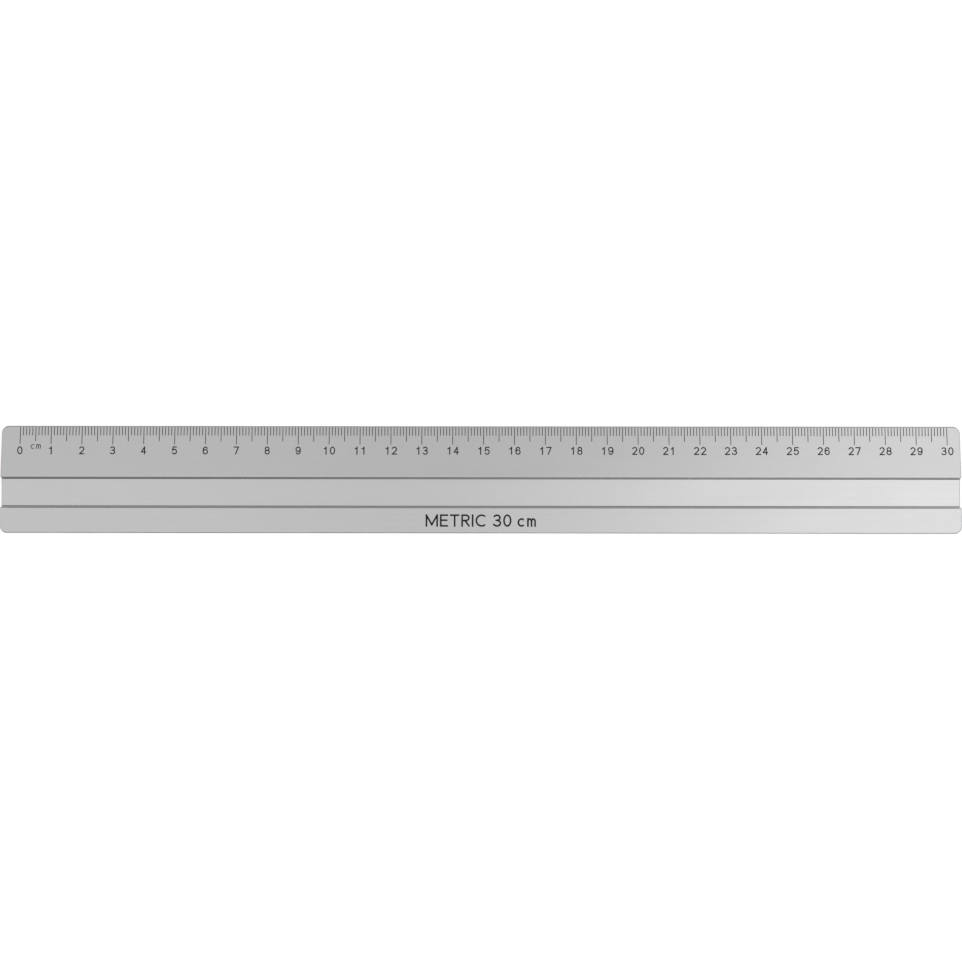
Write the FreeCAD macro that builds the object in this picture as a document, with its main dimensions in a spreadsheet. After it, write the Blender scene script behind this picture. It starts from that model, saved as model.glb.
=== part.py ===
import FreeCAD, Part
import math
import os
import Sketcher
from FreeCAD import Vector

# A 30 cm desk ruler made from an aluminium extrusion, lying flat with +Z up.
# X runs along the ruler and the numbers read towards +X. The measuring edge faces +Y and the
# guide edge faces -Y. The origin is under the middle of the ruler, on the surface it rests on.
#
# From the measuring edge to the guide edge the section is a thin edge, a bevel that carries the
# scale and climbs to a ridge, a sunk finger channel between two steep walls, and a raised rear
# band. Two T-slots in the underside each hold a soft strip that stops the ruler sliding. The
# scale, its numbers and the legend are one layer of ink, kept here as separate thin films.

# name, value, meaning. Every value is in millimetres, apart from one angle in degrees.
SIZES = [
    ("scale_length", 300, "graduated length, a whole number of centimetres"),
    ("zero_margin", 6.1, "blank end before the zero line"),
    ("end_margin", 4.3, "blank end after the last line"),
    ("edge_thickness", 0.8, "metal at the measuring edge"),
    ("bevel_width", 16.6, "measuring edge to ridge"),
    ("ridge_height", 2.6, "metal at the ridge"),
    ("wall_run", 0.5, "how far each channel wall leans over"),
    ("channel_width", 8.75, "flat floor of the finger channel"),
    ("floor_thickness", 1.3, "metal under the finger channel"),
    ("band_width", 8.25, "rear band, channel wall to guide edge"),
    ("band_front_height", 3, "metal at the front of the rear band"),
    ("band_back_height", 3.3, "metal at the guide edge"),
    ("corner_radius", 2.3, "the four corners seen from above"),
    ("crest_radius", 0.35, "rounding at the top of each channel wall"),
    ("foot_radius", 0.25, "rounding at the foot of each channel wall"),
    ("rim_radius", 0.35, "rounding round the whole top outline"),
    ("base_radius", 0.15, "rounding round the whole bottom outline"),
    ("slot_mouth", 2.4, "T-slot width at the underside"),
    ("slot_inside", 3.4, "T-slot width behind its lips"),
    ("slot_lip", 0.4, "thickness of the T-slot's lips"),
    ("slot_depth", 1.1, "underside to the ceiling of the T-slot"),
    ("front_slot_setback", 3, "ridge to the middle of the front slot, under the bevel"),
    ("rear_slot_inset", 4.15, "guide edge to the middle of the rear slot"),
    ("strip_proud", 0.3, "how far the soft strips stand below the metal"),
    ("strip_clearance", 0.1, "gap between a strip and the sides and lips of its slot"),
    ("strip_end_gap", 0.5, "how far each strip stops short of the ruler's ends"),
    ("tread_width", 0.35, "grooves along the sole of each strip"),
    ("tread_depth", 0.15, "grooves along the sole of each strip"),
    ("tread_pitch", 0.9, "middle to middle of the two grooves in a sole"),
    ("ink_thickness", 0.02, "printed film"),
    ("line_width", 0.22, "graduation lines"),
    ("line_gap", 0.03, "rounding of the measuring edge to the start of each line"),
    ("millimetre_reach", 3.1, "measuring edge to the end of a millimetre line"),
    ("half_reach", 5, "measuring edge to the end of a half-centimetre line"),
    ("centimetre_reach", 6, "measuring edge to the end of a centimetre line"),
    ("numeral_height", 2.6, "numbers on the scale"),
    ("numeral_width", 1.7, "one digit"),
    ("numeral_pitch", 2.25, "first digit to second digit"),
    ("numeral_stroke", 0.36, "line thickness of the numbers"),
    ("numeral_baseline", 9.28, "measuring edge to the foot of the numbers"),
    ("unit_height", 1.5, "small letters beside the zero"),
    ("unit_stroke", 0.24, "line thickness of the small letters"),
    ("unit_spacing", 0.42, "gap between the small letters"),
    ("unit_baseline", 7.5, "measuring edge to the foot of the small letters"),
    ("unit_lean", 7, "degrees by which the small letters beside the zero lean over"),
    ("legend_height", 4, "capitals on the rear band"),
    ("legend_stroke", 0.55, "line thickness of the legend"),
    ("legend_spacing", 0.62, "gap between the legend's letters"),
    ("legend_word_gap", 1.95, "gap between the legend's words"),
]

UNIT_TEXT = "cm"
SMALL_LETTER_SHARE = 0.7  # height of c and m beside a capital
LABELLED_EVERY = 10  # millimetres from one number to the next
LINES_EVERY = 5  # millimetres from one run of four millimetre lines to the next
LINES_PER_RUN = 4
NEAR = 0.001  # millimetres within which an edge counts as being where it is looked for

WIDTH = "(Sizes.bevel_width + 2 * Sizes.wall_run + Sizes.channel_width + Sizes.band_width)"
LENGTH = "(Sizes.zero_margin + Sizes.scale_length + Sizes.end_margin)"
ZERO_LINE = f"(Sizes.zero_margin - {LENGTH} / 2)"
MEASURING_EDGE = f"({WIDTH} / 2)"
RIDGE = f"({MEASURING_EDGE} - Sizes.bevel_width)"
CHANNEL_FRONT = f"({RIDGE} - Sizes.wall_run)"
CHANNEL_BACK = f"({CHANNEL_FRONT} - Sizes.channel_width)"
BAND_FRONT = f"({CHANNEL_BACK} - Sizes.wall_run)"
GUIDE_EDGE = f"(-{WIDTH} / 2)"
FRONT_SLOT = f"({RIDGE} + Sizes.front_slot_setback)"
REAR_SLOT = f"({GUIDE_EDGE} + Sizes.rear_slot_inset)"
LINE_START = "(Sizes.rim_radius + Sizes.line_gap)"
BEVEL_RISE = "(Sizes.ridge_height - Sizes.edge_thickness)"
BAND_RISE = "(Sizes.band_back_height - Sizes.band_front_height)"

doc = FreeCAD.newDocument("DeskRuler")
sheet = doc.addObject("Spreadsheet::Sheet", "Sizes")
for row, (alias, value, meaning) in enumerate(SIZES, start=1):
    sheet.set(f"A{row}", alias)
    sheet.set(f"B{row}", str(value))
    sheet.set(f"C{row}", meaning)
    sheet.setAlias(f"B{row}", alias)
doc.recompute()

centimetres = round(sheet.scale_length / LABELLED_EVERY)


# Bodies, sketches and features

def worked_out(expression):
    """The value that an expression on the sheet has now, in millimetres or degrees."""
    value = sheet.evalExpression(expression.replace("Sizes.", ""))
    return getattr(value, "Value", value)


def new_body(name):
    body = doc.addObject("PartDesign::Body", name)
    body.Label = name
    return body


def new_sketch(body, name, plane_role):
    """A sketch on one of the body's own origin planes."""
    plane = next(f for f in body.Origin.OriginFeatures if f.Role == plane_role)
    sketch = body.newObject("Sketcher::SketchObject", name)
    sketch.AttachmentSupport = [(plane, "")]
    sketch.MapMode = "FlatFace"
    return sketch


def draw_outline(sketch, corners):
    """A closed outline of straight lines through corners given as pairs of expressions."""
    points = [Vector(worked_out(x), worked_out(y), 0) for x, y in corners]
    first = sketch.GeometryCount
    count = len(corners)
    for i in range(count):
        sketch.addGeometry(Part.LineSegment(points[i], points[(i + 1) % count]), False)
    for i in range(count):
        following = first + (i + 1) % count
        sketch.addConstraint(Sketcher.Constraint("Coincident", first + i, 2, following, 1))
    for i, pair in enumerate(corners):
        for kind, expression in zip(("DistanceX", "DistanceY"), pair):
            distance = Sketcher.Constraint(kind, -1, 1, first + i, 1, worked_out(expression))
            index = sketch.addConstraint(distance)
            sketch.setExpression(f"Constraints[{index}]", expression)


def pad(body, sketch, length, both_ways):
    feature = body.newObject("PartDesign::Pad", "Pad")
    feature.Profile = sketch
    feature.Midplane = both_ways
    feature.setExpression("Length", length)
    doc.recompute()
    return feature


def round_edges(body, base, name, radius, wanted):
    """Rounds every edge of base that passes the test wanted."""
    names = [f"Edge{i}" for i, edge in enumerate(base.Shape.Edges, start=1) if wanted(edge)]
    if not names:
        raise RuntimeError(f"{name} found no edge")
    feature = body.newObject("PartDesign::Fillet", name)
    feature.Base = (base, names)
    feature.setExpression("Radius", radius)
    doc.recompute()
    return feature


def runs_along(y, height):
    """A test for the edges parallel to X that lie at y and at a height above the metal's underside."""
    place = Vector(0, worked_out(y), worked_out(f"Sizes.strip_proud + {height}"))

    def test(edge):
        box = edge.BoundBox
        return (
            abs(box.YMin - place.y) < NEAR
            and abs(box.YMax - place.y) < NEAR
            and abs(box.ZMin - place.z) < NEAR
            and abs(box.ZMax - place.z) < NEAR
        )

    return test


def is_upright_corner(edge):
    box = edge.BoundBox
    return box.XLength < NEAR and box.YLength < NEAR and box.ZLength > NEAR


def place_on_slope(thing, x, y, height, rise, run):
    """Lays the thing's XY plane on a slope that falls towards +Y, with its origin at x, y."""
    thing.Placement = FreeCAD.Placement(Vector(), FreeCAD.Rotation(Vector(-1, 0, 0), 1))
    thing.setExpression("Placement.Base.x", x)
    thing.setExpression("Placement.Base.y", y)
    thing.setExpression("Placement.Base.z", f"Sizes.strip_proud + {height}")
    thing.setExpression("Placement.Rotation.Angle", f"atan({rise} / {run})")


def place_on_bevel(thing, x):
    place_on_slope(
        thing, x, MEASURING_EDGE, "Sizes.edge_thickness", BEVEL_RISE, "Sizes.bevel_width"
    )


def place_on_band(thing):
    place_on_slope(thing, "0", BAND_FRONT, "Sizes.band_front_height", BAND_RISE, "Sizes.band_width")


# The extrusion and its two soft strips

def slot_outline(middle):
    """The section of a T-slot, opening below the metal so that it cuts right through its face."""
    mouth = "Sizes.slot_mouth / 2"
    inside = "Sizes.slot_inside / 2"
    opening = "0"
    lip = "Sizes.strip_proud + Sizes.slot_lip"
    ceiling = "Sizes.strip_proud + Sizes.slot_depth"
    return [
        (f"{middle} - {mouth}", opening),
        (f"{middle} + {mouth}", opening),
        (f"{middle} + {mouth}", lip),
        (f"{middle} + {inside}", lip),
        (f"{middle} + {inside}", ceiling),
        (f"{middle} - {inside}", ceiling),
        (f"{middle} - {inside}", lip),
        (f"{middle} - {mouth}", lip),
    ]


def make_ruler_body():
    body = new_body("ruler_body")
    profile = new_sketch(body, "SectionSketch", "YZ_Plane")
    underside = "Sizes.strip_proud"
    draw_outline(profile, [
        (MEASURING_EDGE, underside),
        (MEASURING_EDGE, f"{underside} + Sizes.edge_thickness"),
        (RIDGE, f"{underside} + Sizes.ridge_height"),
        (CHANNEL_FRONT, f"{underside} + Sizes.floor_thickness"),
        (CHANNEL_BACK, f"{underside} + Sizes.floor_thickness"),
        (BAND_FRONT, f"{underside} + Sizes.band_front_height"),
        (GUIDE_EDGE, f"{underside} + Sizes.band_back_height"),
        (GUIDE_EDGE, underside),
    ])
    solid = pad(body, profile, LENGTH, True)
    solid = round_edges(body, solid, "Corners", "Sizes.corner_radius", is_upright_corner)
    for name, y, height, radius in (
        ("RidgeCrest", RIDGE, "Sizes.ridge_height", "Sizes.crest_radius"),
        ("BandCrest", BAND_FRONT, "Sizes.band_front_height", "Sizes.crest_radius"),
        ("FrontFoot", CHANNEL_FRONT, "Sizes.floor_thickness", "Sizes.foot_radius"),
        ("BackFoot", CHANNEL_BACK, "Sizes.floor_thickness", "Sizes.foot_radius"),
        # each of these two runs on round the whole outline, because the corners are rounded
        ("Rim", MEASURING_EDGE, "Sizes.edge_thickness", "Sizes.rim_radius"),
        ("Base", MEASURING_EDGE, "0", "Sizes.base_radius"),
    ):
        solid = round_edges(body, solid, name, radius, runs_along(y, height))

    slots = new_sketch(body, "SlotSketch", "YZ_Plane")
    for middle in (FRONT_SLOT, REAR_SLOT):
        draw_outline(slots, slot_outline(middle))
    pocket = body.newObject("PartDesign::Pocket", "Slots")
    pocket.Profile = slots
    pocket.Type = "ThroughAll"
    pocket.Midplane = True
    doc.recompute()
    if pocket.Shape.Volume >= solid.Shape.Volume:
        raise RuntimeError("the slots cut nothing")
    return body


def make_strip(name, middle):
    """A soft T-shaped strip. Its head bears on the slot's ceiling and its grooved sole on the table."""
    stem = "(Sizes.slot_mouth / 2 - Sizes.strip_clearance)"
    head = "(Sizes.slot_inside / 2 - Sizes.strip_clearance)"
    shoulder = "Sizes.strip_proud + Sizes.slot_lip + Sizes.strip_clearance"
    top = "Sizes.strip_proud + Sizes.slot_depth"
    near_side = "(Sizes.tread_pitch / 2 - Sizes.tread_width / 2)"
    far_side = "(Sizes.tread_pitch / 2 + Sizes.tread_width / 2)"
    right_half = [
        (near_side, "0"),
        (near_side, "Sizes.tread_depth"),
        (far_side, "Sizes.tread_depth"),
        (far_side, "0"),
        (stem, "0"),
        (stem, shoulder),
        (head, shoulder),
        (head, top),
    ]
    corners = [(f"{middle} + {x}", y) for x, y in right_half]
    corners += [(f"{middle} - {x}", y) for x, y in reversed(right_half)]
    body = new_body(name)
    profile = new_sketch(body, "StripSketch", "YZ_Plane")
    draw_outline(profile, corners)
    pad(body, profile, f"{LENGTH} - 2 * Sizes.strip_end_gap", True)
    return body


# The graduation lines

def pattern(body, sketch, name, length, count):
    feature = body.newObject("PartDesign::LinearPattern", name)
    feature.Direction = (sketch, ["H_Axis"])
    feature.setExpression("Length", length)
    feature.setExpression("Occurrences", count)
    return feature


def make_lines(name, first, reach, repeats):
    """Printed lines on the bevel. Each repeat is the (length, count) of one row of copies."""
    body = new_body(name)
    place_on_bevel(body, ZERO_LINE)
    sketch = new_sketch(body, "LineSketch", "XY_Plane")
    left = f"{first} - Sizes.line_width / 2"
    right = f"{first} + Sizes.line_width / 2"
    start = f"-{LINE_START}"
    draw_outline(sketch, [
        (left, f"-{reach}"),
        (right, f"-{reach}"),
        (right, start),
        (left, start),
    ])
    line = pad(body, sketch, "Sizes.ink_thickness", False)
    copies = body.newObject("PartDesign::MultiTransform", "Copies")
    copies.Originals = [line]
    copies.Transformations = [
        pattern(body, sketch, f"Row{i}", length, count)
        for i, (length, count) in enumerate(repeats, start=1)
    ]
    body.Tip = copies
    doc.recompute()
    return body


# Numbers and letters, drawn with strokes of even thickness

def film(outline):
    """A closed flat outline made into a printed film."""
    return Part.Face(outline).extrude(Vector(0, 0, sheet.ink_thickness))


def stroke_line(width, height, stroke, x1, y1, x2, y2):
    """A straight stroke with square ends between two places given as shares of the box."""
    start = Vector(x1 * width, y1 * height, 0)
    end = Vector(x2 * width, y2 * height, 0)
    along = (end - start).normalize() * (stroke / 2)
    across = Vector(-along.y, along.x, 0)
    corners = [
        start - along - across,
        end + along - across,
        end + along + across,
        start - along + across,
    ]
    return film(Part.makePolygon(corners + corners[:1]))


def oval(centre, radius_x, radius_y):
    """A filled ellipse whose longer radius may lie along X or along Y."""
    ellipse = Part.Ellipse(centre, max(radius_x, radius_y), min(radius_x, radius_y)).toShape()
    if radius_y > radius_x:
        ellipse.rotate(centre, Vector(0, 0, 1), 90)
    return film(Part.Wire(ellipse))


def stroke_bow(width, height, stroke, x, y, radius_x, radius_y, start, end):
    """A curved stroke along an ellipse, counter-clockwise between two angles in degrees."""
    centre = Vector(x * width, y * height, 0)
    half_x = radius_x * width
    half_y = radius_y * height
    outer = oval(centre, half_x + stroke / 2, half_y + stroke / 2)
    ring = outer.cut(oval(centre, half_x - stroke / 2, half_y - stroke / 2))
    if end - start >= 360:
        return ring
    reach = 2 * max(half_x, half_y) + stroke
    steps = math.ceil((end - start) / 45)
    wedge = [centre]
    for i in range(steps + 1):
        angle = math.radians(start + (end - start) * i / steps)
        wedge.append(centre + Vector(math.cos(angle), math.sin(angle), 0) * reach)
    wedge.append(centre)
    return ring.common(film(Part.makePolygon(wedge)))


# Each letter is its width as a share of its height, then its strokes. Strokes are placed in the
# box that their centre lines fill, from 0, 0 at the lower left to 1, 1 at the upper right.
LETTERS = {
    "0": (0.62, [
        (stroke_bow, 0.5, 0.5, 0.5, 0.5, 0, 360),
    ]),
    "1": (0.62, [
        (stroke_line, 0.62, 0, 0.62, 1),
        (stroke_line, 0.62, 0.97, 0.46, 0.83),
        (stroke_line, 0.46, 0.81, 0.2, 0.78),
    ]),
    "2": (0.62, [
        (stroke_bow, 0.5, 0.71, 0.5, 0.29, -32, 172),
        (stroke_line, 0.92, 0.55, 0.03, 0),
        (stroke_line, 0, 0, 1, 0),
    ]),
    "3": (0.62, [
        (stroke_bow, 0.48, 0.76, 0.45, 0.24, -90, 168),
        (stroke_bow, 0.48, 0.26, 0.52, 0.26, -172, 90),
        (stroke_line, 0.38, 0.52, 0.48, 0.52),
    ]),
    "4": (0.62, [
        (stroke_line, 0.74, 0, 0.74, 1),
        (stroke_line, 0.74, 1, 0, 0.28),
        (stroke_line, 0, 0.28, 1, 0.28),
    ]),
    "5": (0.62, [
        (stroke_line, 0.2, 1, 0.94, 1),
        (stroke_line, 0.18, 1, 0.06, 0.5),
        (stroke_bow, 0.48, 0.33, 0.52, 0.33, -160, 148),
    ]),
    "6": (0.62, [
        (stroke_bow, 0.5, 0.31, 0.5, 0.31, 0, 360),
        (stroke_bow, 0.5, 0.58, 0.5, 0.42, 28, 180),
        (stroke_line, 0, 0.3, 0, 0.58),
    ]),
    "7": (0.62, [
        (stroke_line, 0, 1, 1, 1),
        (stroke_line, 1, 0.98, 0.34, 0),
    ]),
    "8": (0.62, [
        (stroke_bow, 0.5, 0.755, 0.43, 0.245, 0, 360),
        (stroke_bow, 0.5, 0.27, 0.5, 0.27, 0, 360),
    ]),
    "9": (0.62, [
        (stroke_bow, 0.5, 0.69, 0.5, 0.31, 0, 360),
        (stroke_bow, 0.5, 0.42, 0.5, 0.42, -152, 0),
        (stroke_line, 1, 0.42, 1, 0.7),
    ]),
    "C": (0.9, [
        (stroke_bow, 0.55, 0.5, 0.55, 0.5, 48, 312),
    ]),
    "E": (0.6, [
        (stroke_line, 0, 0, 0, 1),
        (stroke_line, 0, 0, 1, 0),
        (stroke_line, 0, 0.53, 0.92, 0.53),
        (stroke_line, 0, 1, 1, 1),
    ]),
    "I": (0.01, [
        (stroke_line, 0, 0, 0, 1),
    ]),
    "M": (1, [
        (stroke_line, 0, 0, 0, 1),
        (stroke_line, 0, 1, 0.5, 0.12),
        (stroke_line, 0.5, 0.12, 1, 1),
        (stroke_line, 1, 1, 1, 0),
    ]),
    "R": (0.64, [
        (stroke_line, 0, 0, 0, 1),
        (stroke_line, 0, 1, 0.5, 1),
        (stroke_line, 0, 0.5, 0.5, 0.5),
        (stroke_bow, 0.5, 0.75, 0.48, 0.25, -90, 90),
        (stroke_line, 0.42, 0.5, 1, 0),
    ]),
    "T": (0.72, [
        (stroke_line, 0.5, 0, 0.5, 1),
        (stroke_line, 0, 1, 1, 1),
    ]),
    "c": (0.85, [
        (stroke_bow, 0.52, 0.5, 0.52, 0.5, 46, 314),
    ]),
    "m": (1.02, [
        (stroke_line, 0, 0, 0, 1),
        (stroke_bow, 0.25, 0.62, 0.25, 0.38, 0, 180),
        (stroke_line, 0.5, 0, 0.5, 0.64),
        (stroke_bow, 0.75, 0.62, 0.25, 0.38, 0, 180),
        (stroke_line, 1, 0, 1, 0.64),
    ]),
}


def letter_film(letter, width, height, stroke, left):
    """One letter as a film, standing on the X axis with its left side at left."""
    line_width = width - stroke
    line_height = height - stroke
    strokes = [
        draw(line_width, line_height, stroke, *places) for draw, *places in LETTERS[letter][1]
    ]
    low_corner = Vector(-stroke / 2, -stroke / 2, 0)
    letter_solid = strokes[0]
    if strokes[1:]:
        # where strokes slant, their square ends are trimmed level with the letter's own box
        box = Part.makeBox(width, height, sheet.ink_thickness, low_corner)
        letter_solid = strokes[0].multiFuse(strokes[1:]).common(box).removeSplitter()
    letter_solid.translate(Vector(left, 0, 0) - low_corner)
    return letter_solid


def line_of_text(text, height, stroke, spacing, word_gap):
    """Films for a line of text that starts at X = 0, and the line's width."""
    films = []
    pen = 0
    for letter in text:
        if letter == " ":
            pen += word_gap - spacing
            continue
        letter_height = height * SMALL_LETTER_SHARE if letter.islower() else height
        width = stroke + LETTERS[letter][0] * (letter_height - stroke)
        films.append(letter_film(letter, width, letter_height, stroke, pen))
        pen += width + spacing
    return films, pen - spacing


def make_print(name, films):
    """A node made of printed films."""
    solids = [solid for film in films for solid in film.Solids]
    feature = doc.addObject("Part::Feature", name)
    feature.Label = name
    feature.Shape = Part.Compound(solids)
    return feature


def make_numeral(number):
    """The number of a centimetre line, centred under that line."""
    digits = str(number)
    width = sheet.numeral_width + (len(digits) - 1) * sheet.numeral_pitch
    films = []
    for i, digit in enumerate(digits):
        left = i * sheet.numeral_pitch - width / 2
        film = letter_film(
            digit, sheet.numeral_width, sheet.numeral_height, sheet.numeral_stroke, left
        )
        film.translate(Vector(0, -sheet.numeral_baseline, 0))
        films.append(film)
    numeral = make_print(f"numeral_{number:02d}", films)
    place_on_bevel(numeral, f"{ZERO_LINE} + {number * LABELLED_EVERY}")
    return numeral


def make_unit_label():
    """The unit in leaning letters, centred under the first half-centimetre line."""
    capital = sheet.unit_height / SMALL_LETTER_SHARE
    films, width = line_of_text(UNIT_TEXT, capital, sheet.unit_stroke, sheet.unit_spacing, 0)
    shear = FreeCAD.Matrix()
    shear.A12 = math.tan(math.radians(sheet.unit_lean))
    films = [film.transformGeometry(shear) for film in films]
    for film in films:
        film.translate(Vector(-width / 2, -sheet.unit_baseline, 0))
    label = make_print("unit_label", films)
    place_on_bevel(label, f"{ZERO_LINE} + {LABELLED_EVERY / 2}")
    return label


def make_legend():
    """A plain statement of the ruler's measure in the middle of the rear band."""
    films, width = line_of_text(
        f"METRIC {centimetres} {UNIT_TEXT}",
        sheet.legend_height,
        sheet.legend_stroke,
        sheet.legend_spacing,
        sheet.legend_word_gap,
    )
    slope_length = math.hypot(sheet.band_width, sheet.band_back_height - sheet.band_front_height)
    for film in films:
        film.translate(Vector(-width / 2, -(slope_length + sheet.legend_height) / 2, 0))
    legend = make_print("size_legend", films)
    place_on_band(legend)
    return legend


# The whole ruler

parts = [
    make_ruler_body(),
    make_strip("front_grip_strip", FRONT_SLOT),
    make_strip("rear_grip_strip", REAR_SLOT),
    make_lines("centimetre_marks", "0", "Sizes.centimetre_reach", [
        ("Sizes.scale_length", f"Sizes.scale_length / {LABELLED_EVERY} + 1"),
    ]),
    make_lines("half_centimetre_marks", f"{LABELLED_EVERY / 2}", "Sizes.half_reach", [
        (f"Sizes.scale_length - {LABELLED_EVERY}", f"Sizes.scale_length / {LABELLED_EVERY}"),
    ]),
    make_lines("millimetre_marks", "1", "Sizes.millimetre_reach", [
        (f"{LINES_PER_RUN - 1}", f"{LINES_PER_RUN}"),
        (f"Sizes.scale_length - {LINES_EVERY}", f"Sizes.scale_length / {LINES_EVERY}"),
    ]),
    make_unit_label(),
    make_legend(),
]
for number in range(centimetres + 1):
    parts.append(make_numeral(number))
doc.recompute()

for thing in doc.Objects:
    if "Invalid" in thing.State or "Error" in thing.State:
        raise RuntimeError(f"{thing.Label} failed: {thing.State}")
for part in parts:
    if part.Shape.isNull() or not part.Shape.isValid() or not part.Shape.Solids:
        raise RuntimeError(f"{part.Label} has no valid shape")

os.makedirs("parts", exist_ok=True)
for part in parts:
    part.Shape.exportStep(f"parts/{part.Label}.step")
    box = part.Shape.BoundBox
    print(f"{part.Label}: {len(part.Shape.Solids)} solids, {part.Shape.Volume:.3f} mm3, "
          f"{box.XLength:.2f} x {box.YLength:.2f} x {box.ZLength:.2f} mm")
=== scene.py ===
import bpy
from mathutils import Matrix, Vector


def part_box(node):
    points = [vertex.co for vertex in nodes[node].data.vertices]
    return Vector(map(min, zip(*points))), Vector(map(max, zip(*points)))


# A desk ruler cut from an aluminium extrusion: +X along the ruler, +Y towards the measuring edge.
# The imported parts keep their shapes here, and this script gives them their finishes, the floor,
# the light and the camera. Lengths are in metres.

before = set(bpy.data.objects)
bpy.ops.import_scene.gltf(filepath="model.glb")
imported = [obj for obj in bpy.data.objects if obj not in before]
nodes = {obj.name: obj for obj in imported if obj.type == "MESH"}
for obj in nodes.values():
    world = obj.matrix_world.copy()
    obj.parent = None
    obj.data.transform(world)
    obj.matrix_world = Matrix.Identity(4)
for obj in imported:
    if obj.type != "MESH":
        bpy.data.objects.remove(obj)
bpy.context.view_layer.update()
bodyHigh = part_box("ruler_body")[1]
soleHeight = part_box("rear_grip_strip")[0].z
mm = 0.001
print("frame loaded:", len(nodes), "nodes")


# Small helpers for node trees. A value that is a socket gets a link, any other is typed in.

def addNode(tree, kind, values=None, **settings):
    node = tree.nodes.new(kind)
    for name, value in settings.items():
        setattr(node, name, value)
    for name, value in (values or {}).items():
        if isinstance(value, bpy.types.NodeSocket):
            tree.links.new(value, node.inputs[name])
        else:
            node.inputs[name].default_value = value
    return node


def maths(tree, operation, first, second=0.0):
    return addNode(tree, "ShaderNodeMath", {0: first, 1: second}, operation=operation).outputs[0]


def remap(tree, value, lowIn, highIn, lowOut=0.0, highOut=1.0, smooth=False):
    values = {
        "Value": value, "From Min": lowIn, "From Max": highIn, "To Min": lowOut, "To Max": highOut,
    }
    kind = "SMOOTHSTEP" if smooth else "LINEAR"
    return addNode(tree, "ShaderNodeMapRange", values, interpolation_type=kind).outputs["Result"]


# the mix node's colour sockets are numbers 6 and 7, and its colour result is number 2
def mixColours(tree, factor, first, second):
    values = {0: factor, 6: first, 7: second}
    return addNode(tree, "ShaderNodeMix", values, data_type="RGBA").outputs[2]


# noise whose lumps measure the three sizes along X, Y and Z
def noiseAt(tree, place, sizes, detail=2.0, roughness=0.5, turn=0.0):
    values = {
        "Vector": place, "Scale": tuple(1 / size for size in sizes), "Rotation": (0, 0, turn),
    }
    stretched = addNode(tree, "ShaderNodeMapping", values, vector_type="POINT")
    values = {
        "Vector": stretched.outputs[0], "Scale": 1.0, "Detail": detail, "Roughness": roughness,
    }
    return addNode(tree, "ShaderNodeTexNoise", values).outputs["Fac"]


def grey(level, warmth=0.0):
    return (level * (1 + warmth), level, level * (1 - warmth), 1)


# a bump of the given depth, on top of another one where that is handed in
def bumpFrom(tree, height, strength, depth, below=None):
    values = {"Height": height, "Strength": strength, "Distance": depth}
    if below is not None:
        values["Normal"] = below
    return addNode(tree, "ShaderNodeBump", values).outputs[0]


def newMaterial(name):
    material = bpy.data.materials.new(name)
    material.use_nodes = True
    tree = material.node_tree
    return material, tree, tree.nodes["Principled BSDF"]


# Satin anodised aluminium: fine die lines along the ruler, an etched grain, saw marks on the cut
# ends, painted shade on the channel walls, rims and cut ends, and the bright rubbed edges and
# faint scratches of a used ruler

anodised = {
    "brightTone": grey(0.80),
    "dullTone": grey(0.765),
    # painted shade on the channel walls, a different depth for each facing
    "frontWallPaintedShade": grey(0.33),
    "rearWallPaintedShade": grey(0.57),
    # painted shade on the rounded rims of the guide edge and the measuring edge
    "guideRimPaintedShade": grey(0.19),
    "edgeRimPaintedShade": grey(0.32),
    "rimWidth": 0.6 * mm,
    # painted shade on the cut ends
    "endPaintedShade": grey(0.50),
    "endFacing": (0.20, 0.60),  # how far a face is turned to the end, from not at all to fully
    "wallFacing": (0.14, 0.38),  # the same for a turn to the side
    "uprightFacing": (0.95, 0.99),  # steeper than this is an upright face, no longer a wall
    "forwardFacing": (-0.5, 0.5),
    "rubbedTone": grey(0.90),
    "rubbedStrength": 0.15,
    "rubbedPolish": 0.10,
    "rubbedWidth": 0.35 * mm,
    "rubbedPatchSize": (14 * mm, 3 * mm, 3 * mm),
    "rubbedPatches": (0.42, 0.62),
    "scratchTone": grey(0.88),
    "scratchStrength": 0.35,
    "scratchSize": (9 * mm, 0.07 * mm, 0.07 * mm),
    "scratchTurns": (0.06, -0.11, 0.9),
    "scratchStep": (0.37, 0.53, 0),  # how far each family's noise is moved on
    "scratchCut": (0.76, 0.80),
    "dieLineSize": (40 * mm, 0.11 * mm, 0.11 * mm),
    "dieBandSize": (160 * mm, 1.3 * mm, 1.3 * mm),
    "dieBandShare": 0.4,
    "streakRange": (0.3, 0.7),
    "grainSize": (0.09 * mm, 0.09 * mm, 0.09 * mm),
    "cloudSize": (30 * mm, 12 * mm, 12 * mm),
    "cloudRange": (0.35, 0.75),
    "cloudStrength": 0.35,
    "sawLineSize": (4 * mm, 0.13 * mm, 3 * mm),
    "smooth": 0.20,
    "rough": 0.28,
    "roughRange": (0.7, 1.3),
    "lineDepth": 0.004 * mm,
    "grainDepth": 0.003 * mm,
    "bumpStrength": 0.5,
}


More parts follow.
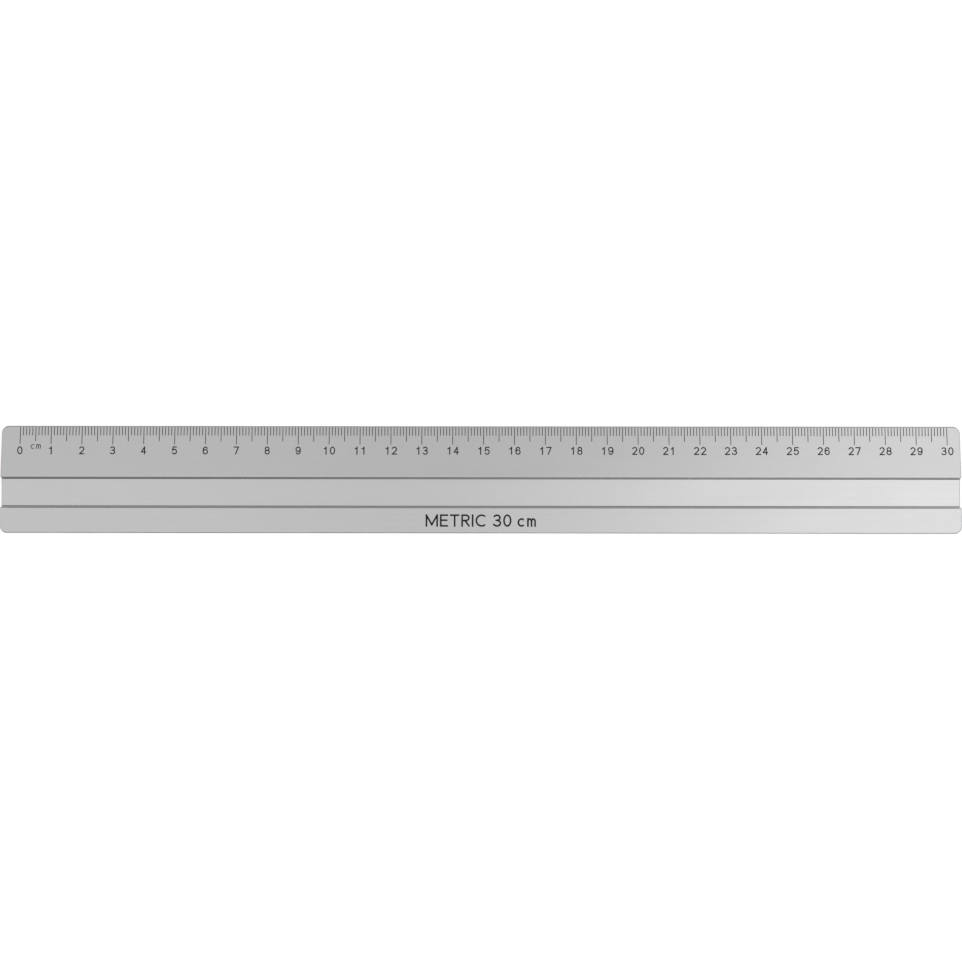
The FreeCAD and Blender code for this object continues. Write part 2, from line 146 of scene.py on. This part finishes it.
def makeAnodised(s):
    material, tree, shader = newMaterial("anodisedAluminium")
    place = addNode(tree, "ShaderNodeTexCoord").outputs["Object"]
    x, y, _ = addNode(tree, "ShaderNodeSeparateXYZ", {"Vector": place}).outputs
    outFromMiddle = maths(tree, "ABSOLUTE", y)
    normal = addNode(tree, "ShaderNodeNewGeometry").outputs["Normal"]
    endways, forward, _ = addNode(tree, "ShaderNodeSeparateXYZ", {"Vector": normal}).outputs
    sideways = maths(tree, "ABSOLUTE", forward)
    facesEnd = remap(tree, maths(tree, "ABSOLUTE", endways), *s["endFacing"])
    leansSideways = remap(tree, sideways, *s["wallFacing"])
    standsUpright = remap(tree, sideways, *s["uprightFacing"])
    facesForward = remap(tree, forward, *s["forwardFacing"])

    dieLines = noiseAt(tree, place, s["dieLineSize"], detail=3)
    dieBands = noiseAt(tree, place, s["dieBandSize"], detail=2)
    grain = noiseAt(tree, place, s["grainSize"], detail=1)
    cloud = noiseAt(tree, place, s["cloudSize"], detail=3)
    sawLines = noiseAt(tree, place, s["sawLineSize"], detail=3)
    lines = mixColours(tree, facesEnd, dieLines, sawLines)

    # the rounded rim along both long sides, which gets painted shade
    rimStart = bodyHigh.y - s["rimWidth"]
    inRim = remap(tree, outFromMiddle, rimStart, rimStart + s["rimWidth"] / 2)

    # rubbed bright where hands and pencils run along the outer edges
    nearSide = remap(tree, outFromMiddle, bodyHigh.y - s["rubbedWidth"], bodyHigh.y)
    nearEnd = remap(
        tree, maths(tree, "ABSOLUTE", x), bodyHigh.x - s["rubbedWidth"], bodyHigh.x
    )
    nearEdge = maths(tree, "MAXIMUM", nearSide, nearEnd)
    patches = noiseAt(tree, place, s["rubbedPatchSize"], detail=4)
    rubbed = maths(tree, "MULTIPLY", nearEdge, remap(tree, patches, *s["rubbedPatches"]))

    # a few long hairlines, each family at its own angle
    scratches = 0.0
    for i, turn in enumerate(s["scratchTurns"]):
        shift = tuple(i * step for step in s["scratchStep"])
        shifted = addNode(tree, "ShaderNodeVectorMath", {0: place, 1: shift}).outputs[0]
        hairs = noiseAt(tree, shifted, s["scratchSize"], detail=0, turn=turn)
        scratches = maths(tree, "MAXIMUM", remap(tree, hairs, *s["scratchCut"]), scratches)

    # the tones lie over each other: flat faces, clouds, painted shade on walls and ends, rubbed
    # edges, scratches
    streaks = mixColours(tree, s["dieBandShare"], lines, dieBands)
    streaks = remap(tree, streaks, *s["streakRange"])
    clouding = remap(tree, cloud, *s["cloudRange"], 0.0, s["cloudStrength"])
    rubbedShare = maths(tree, "MULTIPLY", rubbed, s["rubbedStrength"])
    scratchShare = maths(tree, "MULTIPLY", scratches, s["scratchStrength"])
    # painted shade: walls and rims leaning to the side get dark tones, upright outer sides keep
    # the plain tone
    paintedWallShade = mixColours(tree, facesForward, s["frontWallPaintedShade"], s["rearWallPaintedShade"])
    paintedRimShade = mixColours(tree, facesForward, s["guideRimPaintedShade"], s["edgeRimPaintedShade"])
    paintedWallShade = mixColours(tree, inRim, paintedWallShade, paintedRimShade)
    paintedWallShade = mixColours(tree, standsUpright, paintedWallShade, s["dullTone"])
    tone = mixColours(tree, streaks, s["dullTone"], s["brightTone"])
    for share, nextTone in (
        (clouding, s["dullTone"]),
        (leansSideways, paintedWallShade),
        (facesEnd, s["endPaintedShade"]),
        (rubbedShare, s["rubbedTone"]),
        (scratchShare, s["scratchTone"]),
    ):
        tone = mixColours(tree, share, tone, nextTone)
    tree.links.new(tone, shader.inputs["Base Color"])

    uneven = maths(tree, "ADD", grain, cloud)
    rough = remap(tree, uneven, *s["roughRange"], s["smooth"], s["rough"])
    rough = maths(tree, "SUBTRACT", rough, maths(tree, "MULTIPLY", rubbed, s["rubbedPolish"]))
    tree.links.new(rough, shader.inputs["Roughness"])

    bump = bumpFrom(tree, lines, s["bumpStrength"], s["lineDepth"])
    bump = bumpFrom(tree, grain, s["bumpStrength"], s["grainDepth"], bump)
    tree.links.new(bump, shader.inputs["Normal"])
    shader.inputs["Metallic"].default_value = 1.0
    return material


# Screen-printed ink, a little uneven in density, with a matt skin

ink = {
    "denseTone": grey(0.010),
    "thinTone": grey(0.030),
    "mottleSize": (0.25 * mm, 0.25 * mm, 0.25 * mm),
    "mottleRange": (0.45, 0.75),
    "grainSize": (0.05 * mm, 0.05 * mm, 0.05 * mm),
    "grainRange": (0.3, 0.7),
    "smooth": 0.42,
    "rough": 0.62,
    "gloss": 0.25,
    "grainDepth": 0.003 * mm,
    "bumpStrength": 0.6,
}


def makeInk(s):
    material, tree, shader = newMaterial("scaleInk")
    place = addNode(tree, "ShaderNodeTexCoord").outputs["Object"]
    mottle = noiseAt(tree, place, s["mottleSize"], detail=3)
    grain = noiseAt(tree, place, s["grainSize"], detail=1)
    mottle = remap(tree, mottle, *s["mottleRange"])
    tree.links.new(
        mixColours(tree, mottle, s["denseTone"], s["thinTone"]), shader.inputs["Base Color"]
    )
    rough = remap(tree, grain, *s["grainRange"], s["smooth"], s["rough"])
    tree.links.new(rough, shader.inputs["Roughness"])
    bump = bumpFrom(tree, grain, s["bumpStrength"], s["grainDepth"])
    tree.links.new(bump, shader.inputs["Normal"])
    shader.inputs["Specular IOR Level"].default_value = s["gloss"]
    return material


# Soft dark rubber of the grip strips, grainy, with dust on the sole where it meets the table

rubber = {
    "tone": grey(0.030),
    "wornTone": grey(0.055, 0.02),
    "dustTone": grey(0.16, 0.05),
    "dustStrength": 0.6,
    "dustRange": (0.45, 0.7),
    "grainSize": (0.12 * mm, 0.12 * mm, 0.12 * mm),
    "grainRange": (0.3, 0.7),
    "wornRange": (0.35, 0.7),
    "patchSize": (11 * mm, 2 * mm, 2 * mm),
    "soleDepth": 0.05 * mm,
    "smooth": 0.68,
    "rough": 0.88,
    "gloss": 0.35,
    "grainDepth": 0.015 * mm,
    "bumpStrength": 0.7,
}


def makeRubber(s):
    material, tree, shader = newMaterial("gripRubber")
    place = addNode(tree, "ShaderNodeTexCoord").outputs["Object"]
    z = addNode(tree, "ShaderNodeSeparateXYZ", {"Vector": place}).outputs[2]
    grain = noiseAt(tree, place, s["grainSize"], detail=3)
    patches = noiseAt(tree, place, s["patchSize"], detail=4)
    onSole = remap(tree, z, soleHeight + s["soleDepth"], soleHeight)
    dusty = remap(tree, patches, *s["dustRange"], 0.0, s["dustStrength"])
    dust = maths(tree, "MULTIPLY", onSole, dusty)
    tone = mixColours(tree, remap(tree, grain, *s["wornRange"]), s["tone"], s["wornTone"])
    tone = mixColours(tree, dust, tone, s["dustTone"])
    tree.links.new(tone, shader.inputs["Base Color"])
    rough = remap(tree, grain, *s["grainRange"], s["smooth"], s["rough"])
    tree.links.new(rough, shader.inputs["Roughness"])
    bump = bumpFrom(tree, grain, s["bumpStrength"], s["grainDepth"])
    tree.links.new(bump, shader.inputs["Normal"])
    shader.inputs["Specular IOR Level"].default_value = s["gloss"]
    return material


anodisedMaterial = makeAnodised(anodised)
inkMaterial = makeInk(ink)
rubberMaterial = makeRubber(rubber)
printedCount = 0
for name, node in nodes.items():
    if name == "ruler_body":
        finish = anodisedMaterial
    elif name.endswith("_strip"):
        finish = rubberMaterial
    else:
        finish = inkMaterial
        printedCount += 1
    for slot in node.material_slots:
        slot.material = finish
print("finishes: aluminium body, rubber strips, ink on", printedCount, "printed nodes")


# A white table sheet, which glows a little so that the ruler seems to lie in a light tent. Seen
# from below it is clear, so that the soles of the strips can be looked at.

floorSheet = {
    "side": 6.0,
    "drop": 0.05 * mm,
    "tone": grey(0.82),
    "fleckTone": grey(0.80),
    "fleckSize": (3 * mm, 3 * mm, 3 * mm),
    "roughness": 0.95,
    "glow": 0.55,
}


def makeFloor(s):
    half = s["side"] / 2
    z = -s["drop"]
    corners = [(-half, -half, z), (half, -half, z), (half, half, z), (-half, half, z)]
    mesh = bpy.data.meshes.new("tableSheet")
    mesh.from_pydata(corners, [], [(0, 1, 2, 3)])
    floor = bpy.data.objects.new("tableSheet", mesh)
    bpy.context.scene.collection.objects.link(floor)
    material, tree, shader = newMaterial("tableSheet")
    place = addNode(tree, "ShaderNodeTexCoord").outputs["Object"]
    flecks = noiseAt(tree, place, s["fleckSize"], detail=4)
    tree.links.new(
        mixColours(tree, flecks, s["tone"], s["fleckTone"]), shader.inputs["Base Color"]
    )
    shader.inputs["Roughness"].default_value = s["roughness"]
    shader.inputs["Specular IOR Level"].default_value = 0.0
    shader.inputs["Emission Color"].default_value = grey(1.0)
    shader.inputs["Emission Strength"].default_value = s["glow"]
    fromBelow = addNode(tree, "ShaderNodeNewGeometry").outputs["Backfacing"]
    clear = addNode(tree, "ShaderNodeBsdfTransparent").outputs[0]
    skin = addNode(tree, "ShaderNodeMixShader", {0: fromBelow, 1: shader.outputs[0], 2: clear})
    tree.links.new(skin.outputs[0], tree.nodes["Material Output"].inputs["Surface"])
    mesh.materials.append(material)


makeFloor(floorSheet)


# The light tent: soft all round, dimmer straight above where the camera looks in, dark low down,
# and with a brighter panel over the ruler's far end

tent = {
    "overhead": 0.61,
    "around": 0.64,
    "domeRange": (0.93, 0.70),  # height of the direction, from straight above to the sides
    "lowDown": 0.22,
    "lowRange": (0.12, 0.45),
    "panel": 0.42,
    "panelStart": (-0.03, 0.26),
    "panelEnd": (0.5, 0.7),
    "panelSlant": 0.25,
    "leftPanel": 0.10,
    "leftPanelRange": (-0.04, -0.17),
    "shadeForward": 0.15,
    "forwardRange": (0.03, 0.20),
    "sideRange": (0.30, 0.55),  # where the directions out to the sides begin
    "sideDark": 0.70,
    "sideBright": 1.12,
    "sideTiltRange": (-0.35, 0.35),
    "sidePanel": 0.5,
    "backdrop": 1.0,
}


def makeTent(s):
    world = bpy.data.worlds.new("lightTent")
    bpy.context.scene.world = world
    world.use_nodes = True
    tree = world.node_tree
    background = tree.nodes["Background"]
    direction = addNode(tree, "ShaderNodeTexCoord").outputs["Generated"]
    x, y, z = addNode(tree, "ShaderNodeSeparateXYZ", {"Vector": direction}).outputs

    def soft(value, span, lowOut=0.0, highOut=1.0):
        return remap(tree, value, *span, lowOut, highOut, smooth=True)

    def times(first, second):
        return maths(tree, "MULTIPLY", first, second)

    def plus(first, second):
        return maths(tree, "ADD", first, second)

    dome = soft(z, s["domeRange"], s["overhead"], s["around"])
    low = soft(z, s["lowRange"], s["lowDown"], 1.0)
    slanted = maths(tree, "SUBTRACT", x, times(y, s["panelSlant"]))
    sideways = soft(maths(tree, "ABSOLUTE", y), s["sideRange"])
    panel = soft(slanted, s["panelStart"], 0.0, s["panel"])
    panel = times(panel, soft(slanted, s["panelEnd"], 1.0, 0.0))
    panel = times(panel, remap(tree, sideways, 0.0, 1.0, 1.0, s["sidePanel"]))
    leftPanel = soft(x, s["leftPanelRange"], 0.0, s["leftPanel"])
    forward = soft(y, s["forwardRange"], 1.0, 1.0 - s["shadeForward"])
    tilt = remap(tree, x, *s["sideTiltRange"], s["sideDark"], s["sideBright"])
    tilt = mixColours(tree, sideways, grey(1.0), tilt)
    glow = plus(plus(dome, panel), leftPanel)
    for factor in (low, forward, tilt):
        glow = times(glow, factor)
    tree.links.new(glow, background.inputs["Strength"])
    background.inputs["Color"].default_value = grey(1.0)

    # seen directly, the tent is plain white cloth
    seen = addNode(tree, "ShaderNodeBackground", {"Color": grey(1.0), "Strength": s["backdrop"]})
    direct = addNode(tree, "ShaderNodeLightPath").outputs["Is Camera Ray"]
    shades = {0: direct, 1: background.outputs[0], 2: seen.outputs[0]}
    mixed = addNode(tree, "ShaderNodeMixShader", shades)
    tree.links.new(mixed.outputs[0], tree.nodes["World Output"].inputs["Surface"])


makeTent(tent)
print("table sheet and light tent made")


# A camera straight above the ruler, turned by a hair

camera = {
    "height": 480 * mm,
    "lens": 55.31,
    "sensor": 36.0,
    "offset": (0.065 * mm, -0.42 * mm),
    "roll": 0.0011,
    "nearest": 0.01,
    "farthest": 20.0,
}


def makeCamera(s):
    data = bpy.data.cameras.new("overheadCamera")
    data.lens = s["lens"]
    data.sensor_width = s["sensor"]
    data.clip_start = s["nearest"]
    data.clip_end = s["farthest"]
    holder = bpy.data.objects.new("overheadCamera", data)
    holder.location = (*s["offset"], s["height"])
    holder.rotation_euler = (0, 0, s["roll"])
    bpy.context.scene.collection.objects.link(holder)
    bpy.context.scene.camera = holder


makeCamera(camera)
bpy.context.scene.view_settings.view_transform = "Standard"
print("camera made")
